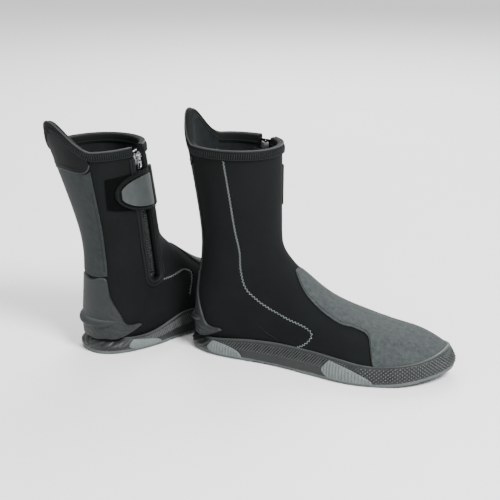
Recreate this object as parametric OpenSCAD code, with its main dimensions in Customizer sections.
// A pair of tall zipped neoprene boots, each a last-shaped sock with a moulded sole.
// Millimetres, +Z up. Right boot: heel at the origin, toe along +X, lateral side towards -Y.
// A point of the upper is named by its section s (0 toe, 4 instep, 6.4 ankle, 8 collar) and by the
// angle t round that section (0 front or top, +90 lateral, 180 back or bottom, -90 medial).

/* [Foot] */
// Length of the upper, heel to toe
foot_length = 283; // [255:1:310]
// Width of the upper across the ball
ball_width = 97; // [86:1:110]
// Width of the upper at the waist
waist_width = 82; // [72:1:92]
// Width of the upper at the heel
heel_width = 70; // [62:1:80]
// Height of the upper over the toes
toe_height = 45; // [40:1:54]
// Height of the upper over the ball
ball_height = 56; // [52:1:64]
// Height of the upper at the front of the ankle
instep_height = 99; // [92:1:106]

/* [Shaft] */
// Height of the collar above the ground
collar_height = 228; // [200:1:265]
// Collar, front to back
collar_depth = 101.5; // [90:0.5:116]
// Collar, side to side
collar_width = 88; // [76:1:100]
// Ankle, front to back
ankle_depth = 87.5; // [80:0.5:96]
// Ankle, side to side
ankle_width = 72; // [64:1:80]
// Rise of the heel tab above the collar
tab_rise = 31; // [15:1:40]
// Backward lean of the left shaft, in degrees
left_lean = 11; // [0:1:14]

/* [Upper layers] */
// Thickness of the neoprene
neoprene = 4.5; // [3:0.5:5.5]
// Thickness of an overlay, such as the vamp
overlay = 1.2; // [0.8:0.1:1.6]
// Thickness of the heel counter
counter_wall = 1.8; // [1.2:0.1:2.4]
// Gap between faces that lie on each other
gap = 0.5; // [0.45:0.05:0.6]
// How far the fin strap ledge stands out
ledge_reach = 6; // [4:0.5:8]

/* [Sole] */
// Height of the tread blocks
tread_depth = 2; // [1.5:0.5:3]
// Thickness of the outsole plate
outsole_plate = 1.5; // [1:0.5:2.5]
// Thickness of the midsole
midsole_height = 5.2; // [4:0.2:7]
// Thickness of the rubber sidewall
foxing_wall = 3.2; // [2.5:0.1:4]
// Thickness of the insole
insole_height = 3; // [2:0.5:4]
// Height of the toe above the ground
toe_spring = 12; // [6:1:14]

/* [Zip] */
// Distance of the zip from the back of the heel
zip_x = 64; // [60:1:68]
// Height of the zip's lower end above the ground
zip_low = 78; // [74:1:90]
// Half the width of the zip's slot in the neoprene
slot_half = 7.5; // [7:0.5:9]
// Distance between teeth
tooth_pitch = 3; // [2.5:0.25:4]
// Width of the slider
slider_width = 10.8; // [10:0.2:12]
// Length of the slider
slider_length = 13; // [11:0.5:16]
// Length of the pull below its pivot
pull_length = 14.5; // [12:0.5:18]
// Radius of the pull's pin
pin_r = 0.8; // [0.6:0.05:0.9]
// Running clearance between the pin and the pull
pin_clearance = 0.08; // [0.05:0.01:0.1]

/* [Strap] */
// Height of the strap at its sewn edge
strap_height = 46; // [36:1:50]
// Length of the strap from its fold to its tip
strap_length = 50; // [40:1:54]
// Height of the strap's centre line above the ground
strap_z = 181; // [170:1:184]
// Thickness of the strap
strap_thickness = 2.5; // [1.5:0.5:3.5]
// Thickness of the rubber badge
badge_thickness = 1.2; // [0.8:0.2:2]

/* [Hidden] */
PIECES = [
    "front_panel", "forefoot_panel", "rear_panel", "vamp_overlay", "heel_counter", "fin_strap_ledge",
    "spine_strip", "tab_patch", "tab_lining", "collar_binding", "insole", "midsole", "outsole", "foxing",
    "toe_bumper", "heel_bumper", "sole_inserts", "zip_tape", "front_teeth", "rear_teeth", "zip_stops",
    "zip_facing", "zip_gusset", "loop_patch", "strap_anchor", "zip_slider", "zip_pull", "strap",
    "strap_badge", "hook_patch"
];

// where the two boots stand
heel_seat = 32;              // the heel's centre, which is the origin
left_yaw = 66;
left_place = [-126, -78];

// ends of the named sections along the foot
ball_x = 0.69 * foot_length;
waist_x = 0.53 * foot_length;
toe_x = 0.848 * foot_length;
instep_x = 0.403 * foot_length;
toe_sweep = 12;              // how far the toe turns towards the medial side
pole_z = 27;                 // height of the toe's foremost point
toe_end = 1.15;              // the toe's round end runs from section 0 to here
tab_angle = 52;              // half the angle that the heel tab spans
bed = tread_depth + outsole_plate + midsole_height + 0.3;   // underside of the upper
ankle_front = 94;
collar_front = 93.5;

// section: s, front x, front z, back x, back z, lateral and medial half width, widest share, roundness
SECTIONS = [
    [0.0, foot_length, toe_height - 11, foot_length, 6, 0.35 * ball_width, 0.35 * ball_width, 0.45, 2.3],
    [1.0, toe_x, toe_height, toe_x, 0, 0.454 * ball_width, 0.474 * ball_width, 0.42, 2.3],
    [2.0, ball_x, ball_height, ball_x, -2, 0.526 * ball_width, 0.474 * ball_width, 0.38, 2.2],
    [3.0, waist_x, ball_height + 17, waist_x, -2, 0.549 * waist_width, 0.451 * waist_width, 0.36, 2.15],
    [4.0, instep_x, instep_height, instep_x - 14, -2, heel_width / 2 + 3, heel_width / 2 - 2, 0.36, 2.2],
    [4.6, ankle_front + 11, instep_height + 9, 40, -4, heel_width / 2 + 1, heel_width / 2 - 1, 0.38, 2.3],
    [5.2, ankle_front + 6, instep_height + 16, 3, 8, heel_width / 2, heel_width / 2, 0.42, 2.3],
    [5.8, ankle_front + 3, instep_height + 22, 1, 55, ankle_width / 2, ankle_width / 2, 0.46, 2.2],
    [6.4, ankle_front + 1.5, instep_height + 29, ankle_front + 1.5 - ankle_depth, instep_height + 9,
        ankle_width / 2, ankle_width / 2, 0.5, 2.1],
    [7.0, ankle_front, instep_height + 51, ankle_front - ankle_depth + 0.5, instep_height + 47,
        ankle_width / 2 + 2.5, ankle_width / 2 + 2.5, 0.5, 2.1],
    [8.0, collar_front, collar_height, collar_front - collar_depth, collar_height,
        collar_width / 2, collar_width / 2, 0.5, 2.1]
];

// ---- curves ----
function clip(v, low, high) = min(max(v, low), high);
function mix(a, b, k) = a + (b - a) * k;
function unit(v) = v / norm(v);
function steps(a, b, n) = [for (i = [0 : n]) mix(a, b, i / n)];

function slope(rows, i, c) =
    let (a = max(i - 1, 0), b = min(i + 1, len(rows) - 1))
    (rows[b][c] - rows[a][c]) / (rows[b][0] - rows[a][0]);

function span_of(rows, x, i = 0) =
    i >= len(rows) - 2 || x < rows[i + 1][0] ? i : span_of(rows, x, i + 1);

// smooth curve through column c of rows, which are sorted by their first number
function curve(rows, x, c = 1) =
    let (
        v = clip(x, rows[0][0], rows[len(rows) - 1][0]),
        i = span_of(rows, v),
        h = rows[i + 1][0] - rows[i][0],
        u = (v - rows[i][0]) / h
    )
    (2 * u ^ 3 - 3 * u ^ 2 + 1) * rows[i][c] + (u ^ 3 - 2 * u ^ 2 + u) * h * slope(rows, i, c)
    + (3 * u ^ 2 - 2 * u ^ 3) * rows[i + 1][c] + (u ^ 3 - u ^ 2) * h * slope(rows, i + 1, c);

// ---- the last ----
function spring(x) = toe_spring * (max(x - 0.76 * foot_length, 0) / (0.265 * foot_length)) ^ 2;
function sweep_y(x) = toe_sweep * (clip((x - ball_x) / (0.346 * foot_length), 0, 1)) ^ 2;
function toe_round(s) = sqrt(max(0, 1 - (clip(1 - s / toe_end, 0, 1)) ^ 2));
function leaned(p, lean) =
    let (h = max(p[2] - 60, 0))
    [p[0] - tan(lean) * h * h / (h + 40), p[1], p[2]];

function section(s) = [for (c = [0 : 8]) curve(SECTIONS, s, c)];

// point of section q at angle t, d below the outer face (negative: above it)
function section_point(q, t, d, lean) =
    let (
        s = q[0],
        e = toe_round(s),
        back = q[7],
        run = norm([q[1] - q[3], q[2] - q[4]]),
        dir = [(q[1] - q[3]) / run, (q[2] - q[4]) / run],
        nose = d * clip(1 - s / toe_end, 0, 1),
        front_z = pole_z + (q[2] - pole_z - d * dir[1]) * e,
        back_z = pole_z + (q[4] - pole_z + d * dir[1]) * e,
        front_x = q[1] - d * dir[0] - nose,
        back_x = q[3] + d * dir[0] - nose,
        mid_x = q[3] + back * (q[1] - q[3]) - nose,
        mid_z = pole_z + (q[4] + back * (q[2] - q[4]) - pole_z) * e,
        a = abs(cos(t)) ^ (2 / q[8]),
        b = abs(sin(t)) ^ (2 / q[8]) * sign(sin(t)),
        x = cos(t) >= 0 ? mix(mid_x, front_x, a) : mix(mid_x, back_x, a),
        z = cos(t) >= 0 ? mix(mid_z, front_z, a) : mix(mid_z, back_z, a),
        half = (b >= 0 ? q[5] : q[6]) - d,
        turn = (t < 0 ? t + 360 : t) - 180,
        hump = abs(turn) < tab_angle ? (cos(180 * turn / tab_angle) + 1) / 2 : 0,
        lift = hump * (clip((s - 6.6) / 1.4, 0, 1)) ^ 1.5,
        px = x - 3 * lift
    )
    leaned([px, sweep_y(px) - b * half * e, max(z + tab_rise * lift, bed + spring(px) + max(d, 0))], lean);

function last(s, t, d, lean) = section_point(section(s), t, d, lean);

// angle at which section s crosses a given x, and at which its lower half crosses a given z
function angle_at_x(s, x) =
    let (q = section(s), mid = q[3] + q[7] * (q[1] - q[3]))
    x >= mid ? acos(clip((x - mid) / (q[1] - mid), 0, 1) ^ (q[8] / 2))
    : 180 - acos(clip((mid - x) / (mid - q[3]), 0, 1) ^ (q[8] / 2));
function angle_at_z(s, z) =
    let (
        q = section(s),
        e = toe_round(s),
        mid = pole_z + (q[4] + q[7] * (q[2] - q[4]) - pole_z) * e,
        top = pole_z + (q[2] - pole_z) * e,
        low = pole_z + (q[4] - pole_z) * e
    )
    z >= mid ? acos(clip((z - mid) / (top - mid), 0, 1) ^ (q[8] / 2))
    : 180 - acos(clip((mid - z) / (mid - low), 0, 1) ^ (q[8] / 2));
// the heights at which a line up the medial side at x crosses the sections
function heights_at(x) = [for (s = steps(4.2, 8, 19)) [last(s, -angle_at_x(s, x), 0, 0)[2], s]];
// a point of that line at height z, d below the upper's face
function medial(heights, x, z, d, lean) =
    let (s = lookup(z, heights))
    last(s, -angle_at_x(s, x), d, lean);
function medial_line(x, low, high, rows, d, lean) =
    let (heights = heights_at(x))
    [for (z = steps(low, high, rows)) medial(heights, x, z, d, lean)];

// ---- solids from grids of points ----
// The sheet between grid a (its outer face) and grid b (its inner face)
module thick(a, b) {
    n = len(a);
    m = len(a[0]);
    function at(i, j) = i * m + j;
    function quad(p, q, r, s) = [[p, q, r], [p, r, s]];
    o = n * m;
    faces = concat(
        [for (i = [0 : n - 2]) for (j = [0 : m - 2])
            each quad(at(i, j), at(i, j + 1), at(i + 1, j + 1), at(i + 1, j))],
        [for (i = [0 : n - 2]) for (j = [0 : m - 2])
            each quad(o + at(i, j), o + at(i + 1, j), o + at(i + 1, j + 1), o + at(i, j + 1))],
        [for (i = [0 : n - 2]) each quad(at(i, 0), at(i + 1, 0), o + at(i + 1, 0), o + at(i, 0))],
        [for (i = [0 : n - 2])
            each quad(at(i, m - 1), o + at(i, m - 1), o + at(i + 1, m - 1), at(i + 1, m - 1))],
        [for (j = [0 : m - 2]) each quad(at(0, j + 1), at(0, j), o + at(0, j), o + at(0, j + 1))],
        [for (j = [0 : m - 2])
            each quad(at(n - 1, j), at(n - 1, j + 1), o + at(n - 1, j + 1), o + at(n - 1, j))]
    );
    polyhedron([for (row = a) each row, for (row = b) each row], faces);
}

// A run of closed loops of points, with flat ends; ring joins the last loop to the first
module loops(p, ring = false) {
    n = len(p);
    m = len(p[0]);
    function at(i, k) = (i % n) * m + k % m;
    sides = [for (i = [0 : n - (ring ? 1 : 2)]) for (k = [0 : m - 1])
        each [[at(i, k), at(i, k + 1), at(i + 1, k + 1)], [at(i, k), at(i + 1, k + 1), at(i + 1, k)]]];
    ends = ring ? [] : [[for (k = [m - 1 : -1 : 0]) at(0, k)], [for (k = [0 : m - 1]) at(n - 1, k)]];
    polyhedron([for (loop = p) each loop], concat(sides, ends));
}

// A sheet on the last: at each section of list, from angle f[i] to angle g[i]
module wrap(list, f, g, columns, outer, inner, lean) {
    thick(
        [for (i = [0 : len(list) - 1]) [for (t = steps(f[i], g[i], columns)) last(list[i], t, outer, lean)]],
        [for (i = [0 : len(list) - 1]) [for (t = steps(f[i], g[i], columns)) last(list[i], t, inner, lean)]]
    );
}

// A sheet on the medial side: at each x of list, from height f[i] to height g[i]
module medial_sheet(list, f, g, rows, outer, inner, lean) {
    thick(
        [for (i = [0 : len(list) - 1]) medial_line(list[i], f[i], g[i], rows, inner, lean)],
        [for (i = [0 : len(list) - 1]) medial_line(list[i], f[i], g[i], rows, outer, lean)]
    );
}

// ---- neoprene ----
join = 3.2;                  // the forefoot panel ends at this section
slot_foot = zip_low - 1.5;   // height of the slot's lower end
slot_front = zip_x + slot_half;
slot_rear = zip_x - slot_half;
function height_on(x) = function(s) last(s, -angle_at_x(s, x), 0, 0)[2];
// the section that meets the slot's front edge at its lower end
zip_section = lookup(slot_foot, [for (s = steps(4.2, 6, 36)) [height_on(slot_front)(s), s]]);
shaft_sections = concat(
    steps(join, 4, 3), steps(4.25, 4.75, 2), [zip_section - 0.04], steps(zip_section, zip_section + 0.56, 6),
    steps(zip_section + 0.8, 6.4, 3), steps(6.75, 8, 4)
);
lateral_seam = [[3.2, 63], [3.93, 72], [4.4, 69], [5, 64], [6.3, 75], [7.1, 81], [8, 84]];
medial_seam = [[3.2, 48], [4.03, 54], [4.5, 62], [zip_section, angle_at_x(zip_section, slot_front)]];
// where section s rises above the slot's lower end
function slot_cross(s) =
    let (rear = height_on(slot_rear)(s), front = height_on(slot_front)(s))
    clip(mix(slot_rear, slot_front, (slot_foot - rear) / (front - rear)), slot_rear, slot_front);
function front_edge(s) = s > zip_section ? angle_at_x(s, slot_front) : curve(medial_seam, s);
function rear_edge(s) = s > zip_section ? angle_at_x(s, slot_cross(s)) : curve(medial_seam, s);

module forefoot_panel(lean) {
    s = concat([0.01, 0.06, 0.16, 0.3, 0.48, 0.7], steps(1, join, 6));
    sides = 26;
    outer = [for (v = s) [for (k = [0 : sides - 1]) last(v, 360 * k / sides, 0, lean)]];
    inner = [for (v = s) [for (k = [0 : sides - 1]) last(v, 360 * k / sides, neoprene, lean)]];
    n = len(s);
    function at(i, k) = i * sides + k % sides;
    o = n * sides;
    skin = [for (i = [0 : n - 2]) for (k = [0 : sides - 1]) each
        [[at(i, k), at(i, k + 1), at(i + 1, k + 1)], [at(i, k), at(i + 1, k + 1), at(i + 1, k)]]];
    lining = [for (f = skin) [o + f[0], o + f[2], o + f[1]]];
    rim = [for (k = [0 : sides - 1]) each [
        [at(n - 1, k), at(n - 1, k + 1), o + at(n - 1, k + 1)],
        [at(n - 1, k), o + at(n - 1, k + 1), o + at(n - 1, k)]
    ]];
    noses = [[for (k = [sides - 1 : -1 : 0]) k], [for (k = [0 : sides - 1]) o + k]];
    color("#2a2c2d") polyhedron(
        [for (row = outer) each row, for (row = inner) each row],
        concat(skin, lining, rim, noses)
    );
}
module front_panel(lean) color("#2a2c2d") wrap(
    shaft_sections, [for (s = shaft_sections) -front_edge(s)],
    [for (s = shaft_sections) curve(lateral_seam, s)], 12, 0, neoprene, lean
);
module rear_panel(lean) color("#2a2c2d") wrap(
    shaft_sections, [for (s = shaft_sections) curve(lateral_seam, s)],
    [for (s = shaft_sections) 360 - rear_edge(s)], 18, 0, neoprene, lean
);

// ---- overlays ----
function foxing_top(x, lateral) = lateral
    ? curve([[0, 19], [20, 17], [75, 24], [136, 27], [183, 25], [212, 22], [234, 23], [261, 27], [283, 33]], x)
    : curve([[0, 19], [20, 17], [45, 15], [63, 17], [86, 24], [105, 29], [150, 27], [212, 22], [234, 23],
        [261, 27], [283, 33]], x);
function over_foxing(s, lateral) =
    let (q = section(s)) angle_at_z(s, foxing_top(mix(q[3], q[1], 0.2) * 283 / foot_length, lateral) + 2);
// the overlay's edge curves back over the instep and leaves a lobe of neoprene bare on each side
vamp_edge = [[1.5, 86], [1.6, 60], [1.75, 37], [2.1, 32], [2.4, 36], [2.7, 35], [3.03, 32], [3.47, 26],
    [3.8, 15], [4, 5]];
function vamp_limit(s, lateral) = s < 1.5 ? over_foxing(s, lateral)
    : min(curve(vamp_edge, s), over_foxing(s, lateral));
module vamp_overlay(lean) {
    s = concat([0.3, 0.4, 0.52, 0.68, 0.88], steps(1.1, 1.5, 2), [1.6, 1.7], steps(1.9, 3.9, 10));
    color("#5c6163") wrap(
        s, [for (v = s) -vamp_limit(v, false)], [for (v = s) vamp_limit(v, true)],
        16, -gap - overlay, -gap, lean
    );
}

// the counter: its lower and upper limit at each angle away from the back
counter_low = [[0, 5.42], [30, 5.36], [45, 5.22], [62, 5.06]];
counter_high = [[0, 6.1], [30, 6.1], [39, 5.83], [58, 5.47], [62, 5.3]];
module heel_counter(lean) {
    t = steps(-62, 62, 16);
    function row(d) = [for (v = t)
        [for (s = steps(curve(counter_low, abs(v)), curve(counter_high, abs(v)), 6)) last(s, 180 + v, d, lean)]];
    color("#4a4f50") thick(row(-gap), row(-gap - counter_wall));
}

// a lip that holds a fin strap up, round the back of the counter
module fin_strap_ledge(lean) {
    t = steps(-52, 52, 16);
    foot = gap + counter_wall + 0.3;
    function reach(v) = foot + 0.8 + (ledge_reach - 0.8) * cos(90 * v / 56);
    function high(v) = 5.62 - 0.12 * (abs(v) / 52) ^ 2;
    color("#4a4f50") loops([for (v = t) [
        last(high(v) + 0.02, 180 + v, -foot, lean), last(high(v), 180 + v, -reach(v), lean),
        last(high(v) - 0.03, 180 + v, -reach(v), lean), last(high(v) - 0.07, 180 + v, -foot, lean)
    ]]);
}

strip_edge = [[6.1, 33], [6.5, 31], [7, 34], [8, 46]];
module spine_strip(lean) {
    s = steps(6.14, 7.5, 8);
    color("#4f5455") wrap(
        s, [for (v = s) 180 - curve(strip_edge, v)], [for (v = s) 180 + curve(strip_edge, v)],
        8, -gap - overlay, -gap, lean
    );
}
binding_drop = 0.1;          // how far down the collar its binding reaches, in sections
module tab_sheet(outer, inner, lean) {
    t = steps(-40, 40, 10);
    high = 8 - binding_drop - 0.015;
    function low(v) = 7.95 - 0.39 * sqrt(max(0, 1 - (v / 46) ^ 2));
    function rows(d) = [for (v = t) [for (s = steps(low(v), high, 4)) last(s, 180 + v, d, lean)]];
    thick(rows(outer), rows(inner));
}
module tab_patch(lean) color("#1c1d1e") tab_sheet(-gap, -gap - overlay, lean);
module tab_lining(lean) color("#54585a") tab_sheet(neoprene + gap + overlay, neoprene + gap, lean);

// a folded tape over the collar's cut edge, open at the zip
module collar_binding(lean) {
    start = angle_at_x(8, slot_rear) + 2;
    finish = angle_at_x(8, slot_front) - 2;
    out = gap + overlay;
    function rim(t, d, up) = last(8, t, d, lean) + [0, 0, up];
    function side(t, d) = last(8 - binding_drop, t, d, lean);
    path = concat(steps(-finish, 180, 24), [for (t = steps(180, 360 - start, 12)) if (t > 181) t]);
    color("#232526") loops([for (t = path) [
        side(t, -gap), rim(t, -gap, gap), rim(t, neoprene + gap, gap), side(t, neoprene + gap),
        side(t, neoprene + out), rim(t, neoprene + out, out), rim(t, -out, out), side(t, -out)
    ]]);
}

// ---- sole ----
round_x = foot_length - toe_end * (foot_length - toe_x);    // where the toe's round end starts
heel_x = 65;                 // where the heel's round end starts
heel_back = -1.2;
// plan outline: x, lateral y, medial y at each place along the sole, d outside the upper
function plan_at(x, s) =
    let (q = section(s), e = x > round_x
        ? sqrt(max(0, 1 - ((x - round_x) / (foot_length - round_x)) ^ 2))
        : x < heel_x ? (max(0, 1 - ((heel_x - x) / (heel_x - heel_back)) ^ 2.5)) ^ (1 / 2.5) : 1)
    [x, sweep_y(x) - q[5] * e, sweep_y(x) + q[6] * e];
ribs = concat(
    [for (a = steps(88, 8, 9)) let (x = round_x + (foot_length - round_x) * sin(a))
        plan_at(x, (foot_length - x) / (foot_length - toe_x))],
    [for (s = steps(1.25, 4.5, 12)) let (q = section(s)) plan_at(q[3] + q[7] * (q[1] - q[3]), s)],
    [for (a = steps(5, 88, 10)) plan_at(heel_x - (heel_x - heel_back) * sin(a), 4.6)]
);
lateral_ribs = [for (r = ribs) [r[0], r[1]]];
medial_ribs = [for (i = [len(ribs) - 1 : -1 : 0]) [ribs[i][0], ribs[i][2]]];
outline = concat(lateral_ribs, medial_ribs);
function moved_out(i, d) =
    let (
        n = len(outline),
        along = unit(outline[(i + 1) % n] - outline[(i + n - 1) % n])
    )
    [outline[i][0] - d * along[1], outline[i][1] + d * along[0]];
function outward(d) = [for (i = [0 : len(outline) - 1]) moved_out(i, d)];
function lift(p, z) = [p[0], p[1], z + spring(p[0])];

// A plate that follows the toe spring, from z = low to z = high, d outside the upper
module plate(d, low, high, skip = 0) {
    edge = outward(d);
    n = len(edge);
    loops([for (i = [skip : n / 2 - 1])
        [lift(edge[i], low), lift(edge[n - 1 - i], low), lift(edge[n - 1 - i], high), lift(edge[i], high)]]);
}
module tread_block(x, y, size, angle) translate([x, y, 0]) rotate(angle)
    translate([-size[0] / 2, -size[1] / 2, 0]) cube([size[0], size[1], tread_depth + 0.1]);
module outsole(lean) color("#8d9294") union() {
    plate(foxing_wall - 0.8, tread_depth, tread_depth + outsole_plate);
    tread_block(heel_seat, 0, [28, 24], 0);
    for (x = [8 : 9 : 62], y = [-1, 1]) if (x > 10 && abs(x - heel_seat) < 26)
        tread_block(x, y * 20.5, [5, 11], y * 20);
    for (i = [0 : 6]) tread_block(0.5 * foot_length + i * 11, 0, [6, 56], 0);
}
module midsole(lean) color("#3a3d3e")
    plate(-0.2, tread_depth + outsole_plate + 0.1, bed - 0.1);
insole_inset = 13.5;         // of the insole inside the upper's outer face
module insole(lean) color("#33383a")
    plate(-insole_inset, bed + neoprene + 0.2, bed + neoprene + 0.2 + insole_height, 3);

// the wall's outer face at outline point i: round, and widest in its middle
wall_low = tread_depth + 0.6;
clear_of_upper = 0.4;
function wall_top(p) = foxing_top(clip(p[0] * 283 / foot_length, 0, 283), p[1] < sweep_y(p[0]));
function wall_point(i, k, out) =
    let (
        p = moved_out(i, clear_of_upper + foxing_wall + out - 1.1 * (1 - sin(180 * k) ^ 0.7)),
        top = wall_top(outline[i])
    )
    [p[0], p[1], mix(wall_low + spring(p[0]), top, k)];
module foxing(lean) {
    n = len(outline);
    color("#3b3f40") loops([for (i = [0 : n - 1])
        let (
            base = tread_depth + outsole_plate + 0.1,
            top = wall_top(outline[i]),
            a = moved_out(i, clear_of_upper),
            b = moved_out(i, clear_of_upper + 0.1)
        )
        [
            lift(a, base), [b[0], b[1], top], wall_point(i, 0.92, 0), wall_point(i, 0.5, 0), wall_point(i, 0.12, 0),
            lift(moved_out(i, clear_of_upper + foxing_wall - 0.9), base)
        ]
    ], ring = true);
}
// A strip on the wall over outline points a to b (b may run past the list's end), between the
// heights low(i) and high(i), given as shares of the wall
module wall_strip(a, b, low, high, out) {
    n = len(outline);
    k = [0, 0.35, 0.7, 1];
    function grid(o) = [for (i = [a : b])
        [for (v = k) wall_point(i % n, mix(low[i - a], high[i - a], v), o)]];
    thick(grid(0.25), grid(0.25 + out));
}
function index_of(x, medial_side) =
    let (hits = [for (i = [0 : len(ribs) - 1]) if (ribs[i][0] > x) i], i = hits[len(hits) - 1])
    medial_side ? len(outline) - 1 - i : i;
insert_spots = [[18, 72], [160, 226]];   // from and to, measured along the foot
module sole_inserts(lean) {
    for (spot = insert_spots, side = [false, true]) {
        ends = [for (x = spot) index_of(x * foot_length / 283, side)];
        a = min(ends);
        b = max(ends);
        // 0 at the rear end and 1 at the front end, which is drawn out to a point
        share = [for (i = [a : b]) side ? (i - a) / (b - a) : (b - i) / (b - a)];
        color("#9aa0a2") wall_strip(a, b, [for (k = share) 0.02 + 0.4 * max(0, 1 - k / 0.3)],
            [for (k = share) 0.1 + 0.75 * (1 - k) * min(1, 0.75 + 2 * k)], 0.9);
    }
}
module toe_bumper(lean) {
    a = index_of(232 * foot_length / 283, true);
    b = len(outline) + index_of(232 * foot_length / 283, false);
    color("#3b3f40") wall_strip(a, b, [for (i = [a : b]) 0.1], [for (i = [a : b]) 0.88], 1);
}
module heel_bumper(lean) {
    a = index_of(14 * foot_length / 283, false);
    b = index_of(14 * foot_length / 283, true);
    color("#3b3f40") wall_strip(a, b, [for (i = [a : b]) 0.1], [for (i = [a : b]) 0.86], 1);
}

// ---- zip ----
// Its own axes: x forward, y out of the boot, z up along the teeth, origin at the lower end
function zip_foot(lean) = medial(heights_at(zip_x), zip_x, zip_low, 0, lean);
function zip_head(lean) = medial(heights_at(zip_x), zip_x, collar_height - 1, 0, lean);
zip_length = norm(zip_head(0) - zip_foot(0));
function zip_up(lean) = unit(zip_head(lean) - zip_foot(lean));
function zip_out(lean) =
    let (
        z = (collar_height + zip_low) / 2,
        front = zip_x + 6,
        rear = zip_x - 6,
        across = medial(heights_at(front), front, z, 0, lean) - medial(heights_at(rear), rear, z, 0, lean)
    )
    unit(cross(zip_up(lean), across));
module on_zip(lean) {
    u = zip_up(lean);
    n = zip_out(lean);
    w = cross(n, u);
    o = zip_foot(lean);
    multmatrix([[w[0], n[0], u[0], o[0]], [w[1], n[1], u[1], o[1]], [w[2], n[2], u[2], o[2]], [0, 0, 0, 1]])
        children();
}
// heights above the neoprene's face
tape_y = -5.5;
tape_thickness = 0.9;
teeth_top = -2.6;
chain_gap = 0.5;             // half the slot that the slider's web passes through
tooth_width = 2.5;
tape_edge = slot_half - 2.4;
stop_height = 2.4;           // of the stops at the zip's upper end
slider_rest = zip_length - slider_length - stop_height - 0.5;
slider_travel = slider_rest - 8;
plate_y = teeth_top + 0.3;   // underside of the slider's upper plate
plate_wall = 1;
ear_x = 2.2;                 // inner face of the ears that hold the pin
pivot = [0, 0.5, slider_length - 4];   // the pull's pin, from the slider's lower end
hub_r = pin_r + pin_clearance + 0.6;

module zip_tape(lean) color("#1d1e1f") on_zip(lean) for (side = [-1, 1])
    translate([side > 0 ? chain_gap + 0.1 : -tape_edge, tape_y, 0])
        cube([tape_edge - chain_gap - 0.1, tape_thickness, zip_length - 0.5]);
module teeth(side, start, lean) color("#2b2d2e") on_zip(lean)
    for (z = [6 + start : tooth_pitch : zip_length - 7])
        translate([side > 0 ? chain_gap : -chain_gap - tooth_width, tape_y + tape_thickness, z])
            cube([tooth_width, teeth_top - tape_y - tape_thickness, tooth_pitch * 0.55]);
module front_teeth(lean) teeth(1, 0, lean);
module rear_teeth(lean) teeth(-1, tooth_pitch / 2, lean);
module zip_stops(lean) color("#8b9093") on_zip(lean) {
    translate([-3, tape_y + tape_thickness, 0.6]) cube([6, 2, 4]);
    for (side = [-1, 1]) translate([side > 0 ? chain_gap : -3, tape_y + tape_thickness, zip_length - stop_height])
        cube([3 - chain_gap, 1.8, stop_height - 0.6]);
}
module zip_slider(lean) color("#74797c") on_zip(lean) translate([0, 0, slider_rest]) {
    half = slider_width / 2;
    under = tape_y - 1.4;
    translate([-half, plate_y, 0]) cube([slider_width, plate_wall, slider_length]);
    translate([-half, under, 0]) cube([slider_width, plate_wall, slider_length]);
    translate([-0.3, under, slider_length - 5]) cube([0.6, plate_y + plate_wall / 2 - under, 4]);
    for (side = [-1, 1]) {
        translate([side > 0 ? half - 1.8 : -half + 0.6, tape_y + tape_thickness + 0.4, 0])
            cube([1.2, plate_y - tape_y - tape_thickness, slider_length]);
        translate([side > 0 ? ear_x : -ear_x - 1, plate_y + plate_wall / 2, pivot[2] - 2.2])
            cube([1, pivot[1] + 1.3 - plate_y - plate_wall / 2, 4.4]);
    }
    translate([-ear_x - 0.8, pivot[1], pivot[2]]) rotate([0, 90, 0])
        cylinder(r = pin_r, h = 2 * ear_x + 1.6, $fn = 32);
}
module zip_pull(lean) color("#868b8e") on_zip(lean) translate([0, pivot[1], slider_rest + pivot[2]])
    difference() {
        union() {
            translate([-1.9, 0, 0]) rotate([0, 90, 0]) cylinder(r = hub_r, h = 3.8, $fn = 32);
            translate([-1.9, -0.5, -4]) cube([3.8, 1, 3.6]);
            translate([-2.8, -0.5, -pull_length]) cube([5.6, 1, pull_length - 3.5]);
        }
        translate([-3, 0, 0]) rotate([0, 90, 0]) cylinder(r = pin_r + pin_clearance, h = 6, $fn = 32);
        translate([-1.4, -1, -pull_length + 3]) cube([2.8, 2, 7]);
    }
facing_out = slot_half + 7.5;
module zip_facing(lean) {
    color("#202223") {
        for (side = [-1, 1]) medial_sheet(
            side < 0 ? [zip_x - facing_out, zip_x - slot_half - 4, zip_x - slot_half - 0.2]
                : [zip_x + slot_half + 0.2, zip_x + slot_half + 4, zip_x + facing_out],
            [for (i = [0 : 2]) zip_low - 2], [for (i = [0 : 2]) collar_height - 11],
            12, -gap - 0.8, -gap, lean
        );
        medial_sheet(
            steps(zip_x - facing_out + 2, zip_x + facing_out - 2, 4),
            [for (v = steps(-1, 1, 4)) zip_low - 14 + 5 * v * v], [for (i = [0 : 4]) zip_low - 2.5],
            2, -gap - 0.8, -gap, lean
        );
    }
}
module zip_gusset(lean) color("#3c4042") medial_sheet(
    steps(zip_x - slot_half - 6, zip_x + slot_half + 6, 4), [for (i = [0 : 4]) zip_low - 4],
    [for (i = [0 : 4]) collar_height - 12], 10, neoprene + 4, neoprene + 5.2, lean
);

// ---- strap ----
fold_x = zip_x + slot_half + 6;      // where the strap folds open
strap_lift = 2.8;                    // its underside, above the neoprene
tip_x = fold_x - strap_length;
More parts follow.
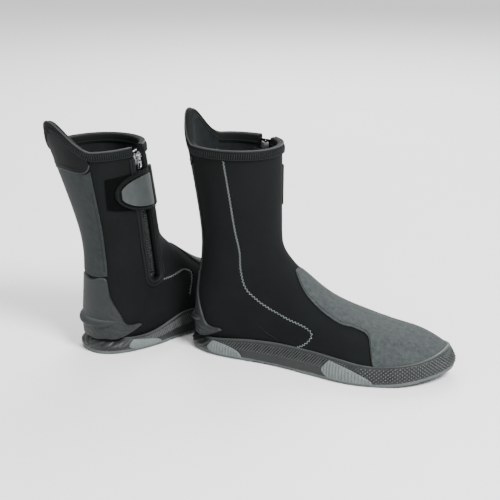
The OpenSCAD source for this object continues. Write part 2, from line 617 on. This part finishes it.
// half the strap's height, u from 0 at the fold to 1 at the tip
function strap_half(u, inset) = (strap_height / 2 - inset) * sqrt(max(0.02, 1 - u ^ 2.6));
module strap_sheet(from_x, to_x, inset, outer, inner, lean, root = false) {
    x = steps(from_x, to_x, 8);
    half = [for (v = x) strap_half(clip((fold_x - v) / (fold_x - tip_x), 0, 1), inset)];
    function drop(v) = root ? 1.2 * clip(1 - (fold_x - v) / 5, 0, 1) : 0;
    function grid(d) = [for (i = [0 : 8])
        medial_line(x[i], strap_z - half[i], strap_z + half[i], 6, d + drop(x[i]), lean)];
    thick(grid(outer), grid(inner));
}
module strap(lean) color("#222425")
    strap_sheet(fold_x - 0.6, tip_x, 0, -strap_lift - strap_thickness, -strap_lift, lean, true);
module strap_badge(lean) {
    under = -strap_lift - strap_thickness - 0.3;
    color("#6f7577") strap_sheet(fold_x - 6, tip_x + 6, 5.5, under - badge_thickness, under, lean);
}
module hook_patch(lean) color("#151617")
    strap_sheet(zip_x - facing_out - 4, tip_x + 3, 5, -strap_lift + 0.2, -strap_lift + 0.9, lean);
module loop_patch(lean) {
    x = steps(zip_x - facing_out - 1, tip_x - 8, 6);
    color("#151617") medial_sheet(
        x, [for (i = [0 : 6]) strap_z - 20 + 3 * (i / 6) ^ 2], [for (i = [0 : 6]) strap_z + 20 - 3 * (i / 6) ^ 2],
        4, -gap, -gap - 0.8, lean
    );
}
module strap_anchor(lean) color("#222425") medial_sheet(
    steps(fold_x + 1, fold_x + 8, 2), [for (i = [0 : 2]) strap_z - strap_height / 2 + 1],
    [for (i = [0 : 2]) strap_z + strap_height / 2 - 1], 6, -gap - 2.6, -gap - 0.9, lean
);

// ---- the pair ----
module right() translate([-heel_seat, 0, 0]) children();
module left() translate([left_place[0], left_place[1], 0]) rotate(left_yaw) mirror([0, 1, 0]) children();
right() front_panel(0);  // right_front_panel
right() forefoot_panel(0);  // right_forefoot_panel
right() rear_panel(0);  // right_rear_panel
right() vamp_overlay(0);  // right_vamp_overlay
right() heel_counter(0);  // right_heel_counter
right() fin_strap_ledge(0);  // right_fin_strap_ledge
right() spine_strip(0);  // right_spine_strip
right() tab_patch(0);  // right_tab_patch
right() tab_lining(0);  // right_tab_lining
right() collar_binding(0);  // right_collar_binding
right() insole(0);  // right_insole
right() midsole(0);  // right_midsole
right() outsole(0);  // right_outsole
right() foxing(0);  // right_foxing
right() toe_bumper(0);  // right_toe_bumper
right() heel_bumper(0);  // right_heel_bumper
right() sole_inserts(0);  // right_sole_inserts
right() zip_tape(0);  // right_zip_tape
right() front_teeth(0);  // right_front_teeth
right() rear_teeth(0);  // right_rear_teeth
right() zip_stops(0);  // right_zip_stops
right() zip_facing(0);  // right_zip_facing
right() zip_gusset(0);  // right_zip_gusset
right() loop_patch(0);  // right_loop_patch
right() strap_anchor(0);  // right_strap_anchor
right() zip_slider(0);  // right_zip_slider
right() zip_pull(0);  // right_zip_pull
right() strap(0);  // right_strap
right() strap_badge(0);  // right_strap_badge
right() hook_patch(0);  // right_hook_patch
left() front_panel(left_lean);  // left_front_panel
left() forefoot_panel(left_lean);  // left_forefoot_panel
left() rear_panel(left_lean);  // left_rear_panel
left() vamp_overlay(left_lean);  // left_vamp_overlay
left() heel_counter(left_lean);  // left_heel_counter
left() fin_strap_ledge(left_lean);  // left_fin_strap_ledge
left() spine_strip(left_lean);  // left_spine_strip
left() tab_patch(left_lean);  // left_tab_patch
left() tab_lining(left_lean);  // left_tab_lining
left() collar_binding(left_lean);  // left_collar_binding
left() insole(left_lean);  // left_insole
left() midsole(left_lean);  // left_midsole
left() outsole(left_lean);  // left_outsole
left() foxing(left_lean);  // left_foxing
left() toe_bumper(left_lean);  // left_toe_bumper
left() heel_bumper(left_lean);  // left_heel_bumper
left() sole_inserts(left_lean);  // left_sole_inserts
left() zip_tape(left_lean);  // left_zip_tape
left() front_teeth(left_lean);  // left_front_teeth
left() rear_teeth(left_lean);  // left_rear_teeth
left() zip_stops(left_lean);  // left_zip_stops
left() zip_facing(left_lean);  // left_zip_facing
left() zip_gusset(left_lean);  // left_zip_gusset
left() loop_patch(left_lean);  // left_loop_patch
left() strap_anchor(left_lean);  // left_strap_anchor
left() zip_slider(left_lean);  // left_zip_slider
left() zip_pull(left_lean);  // left_zip_pull
left() strap(left_lean);  // left_strap
left() strap_badge(left_lean);  // left_strap_badge
left() hook_patch(left_lean);  // left_hook_patch
